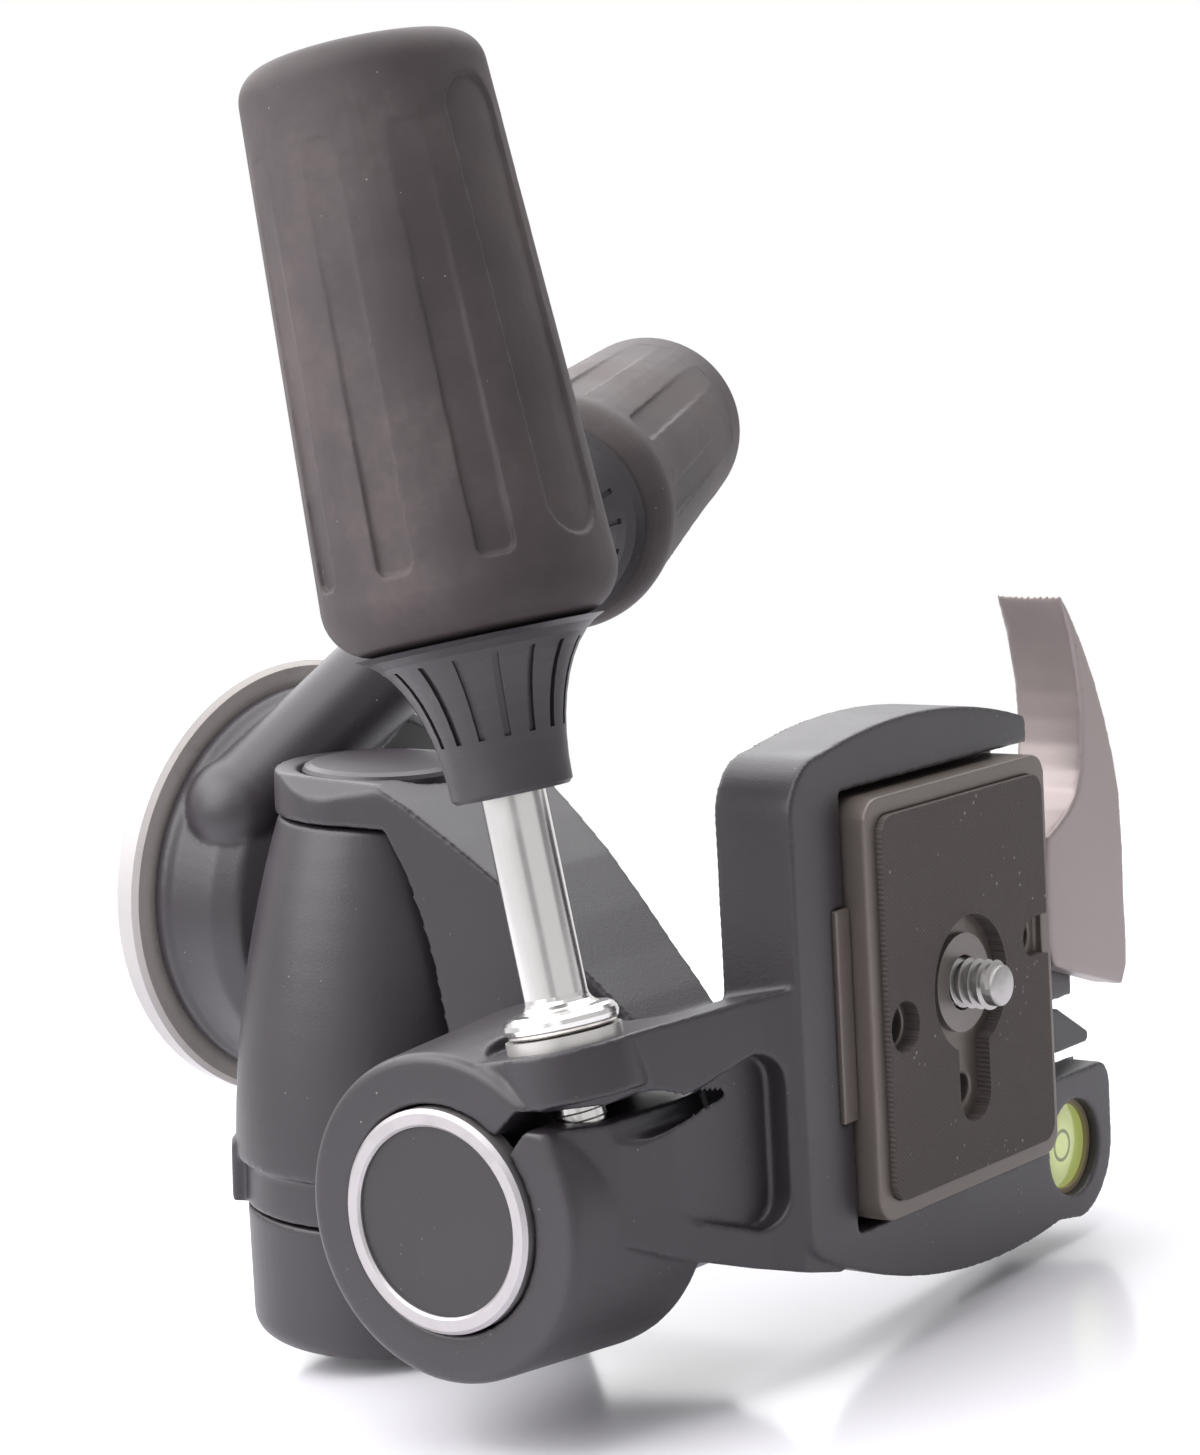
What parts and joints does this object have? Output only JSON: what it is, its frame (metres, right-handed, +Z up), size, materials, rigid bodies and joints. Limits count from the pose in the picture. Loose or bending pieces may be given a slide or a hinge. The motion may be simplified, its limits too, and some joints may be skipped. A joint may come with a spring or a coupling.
{
  "type": "pan tilt head",
  "caption": "Three-way tripod head: turning base, tilting yoke and rolling platform with a quick-release camera plate, two screw-down handles, a lock lever and a bubble level.",
  "frame": {"origin": "centre of the tripod thread on the underside of the base disc", "axes": "+Z up along the pan axis, +X to the front, the way the spindle end faces, -Y the side the roll handle points to"},
  "size_m": [0.1682, 0.1679, 0.1494],
  "materials": {
    "base_alu": "turned, worn at the rim",
    "steel": "bright",
    "body": "matte charcoal, finely grained",
    "bush": "natural acetal",
    "cover": "satin black",
    "bright_ring": "satin",
    "level_cup": "matte",
    "level_vial": "clear, yellow green",
    "plate_metal": "bronze grey anodised",
    "pad": "fine woven grain",
    "lever_metal": "bronze grey anodised",
    "chrome": "polished",
    "neck": "satin charcoal",
    "grip": "matte, slightly dusty"
  },
  "bodies": {
    "base": {"base_disc": "base_alu", "thread_insert": "steel", "snap_ring": "steel"},
    "pan": {"pan_housing": "body", "pan_arm": "body", "upper_bush": "bush", "lower_bush": "bush"},
    "tilt": {"yoke": "body", "tilt_shaft": "steel", "eye_cover": "cover", "cup_cover": "cover", "roll_spindle": "steel", "spindle_ring": "bright_ring", "spindle_cover": "cover"},
    "roll": {"platform": "body", "clamp_nut": "steel", "lock_jaw": "plate_metal", "lever_pin": "steel", "catch_pin": "steel", "level_cup": "level_cup", "level_vial": "level_vial", "plate_body": "plate_metal", "plate_pad": "pad", "screw_ring": "plate_metal"},
    "camera_screw": {"camera_screw": "steel"},
    "lever": {"lock_lever": "lever_metal"},
    "catch": {"safety_catch": "cover"},
    "roll_handle": {"roll_handle_rod": "chrome", "roll_handle_washer": "steel", "roll_handle_neck": "neck", "roll_handle_grip": "grip"},
    "pan_handle": {"pan_handle_rod": "chrome", "pan_handle_washer": "steel", "pan_handle_neck": "neck", "pan_handle_grip": "grip"}
  },
  "joints": [
    {"name": "pan_turn", "type": "hinge", "parent": "base", "child": "pan", "pos_m": [0, 0, 0.01], "axis": [0, 0, 1], "continuous": true},
    {"name": "front_tilt", "type": "hinge", "parent": "pan", "child": "tilt", "pos_m": [0.0132, 0, 0.035], "axis": [0, 1, 0], "range_deg": [-22, 95]},
    {"name": "side_roll", "type": "hinge", "parent": "tilt", "child": "roll", "pos_m": [0.02406, 0.0234, 0.07843], "axis": [0.9903, 0, 0.1392], "range_deg": [-93, 27]},
    {"name": "roll_handle_turn", "type": "hinge", "parent": "roll", "child": "roll_handle", "pos_m": [0.03759, 0.00256, 0.09212], "axis": [0.0337, -0.9703, -0.2396], "range_deg": [0, 180]},
    {"name": "pan_handle_turn", "type": "hinge", "parent": "pan", "child": "pan_handle", "pos_m": [-0.02592, -0.04249, 0.0177], "axis": [-0.8576, -0.1205, -0.5], "range_deg": [0, 180]},
    {"name": "lever_swing", "type": "hinge", "parent": "roll", "child": "lever", "pos_m": [-0.05391, 0.0009, 0.09293], "axis": [0.139, 0.0523, -0.9889], "range_deg": [0, 75], "stiffness_Nm_per_rad": 0.05, "springref_deg": -17.19},
    {"name": "catch_swing", "type": "hinge", "parent": "roll", "child": "catch", "pos_m": [-0.04938, 0.01774, 0.0894], "axis": [0.139, 0.0523, -0.9889], "range_deg": [0, 12]},
    {"name": "camera_screw_turn", "type": "hinge", "parent": "roll", "child": "camera_screw", "pos_m": [-0.0211, 0.00358, 0.10375], "axis": [-0.139, -0.0523, 0.9889], "continuous": true}
  ]
}
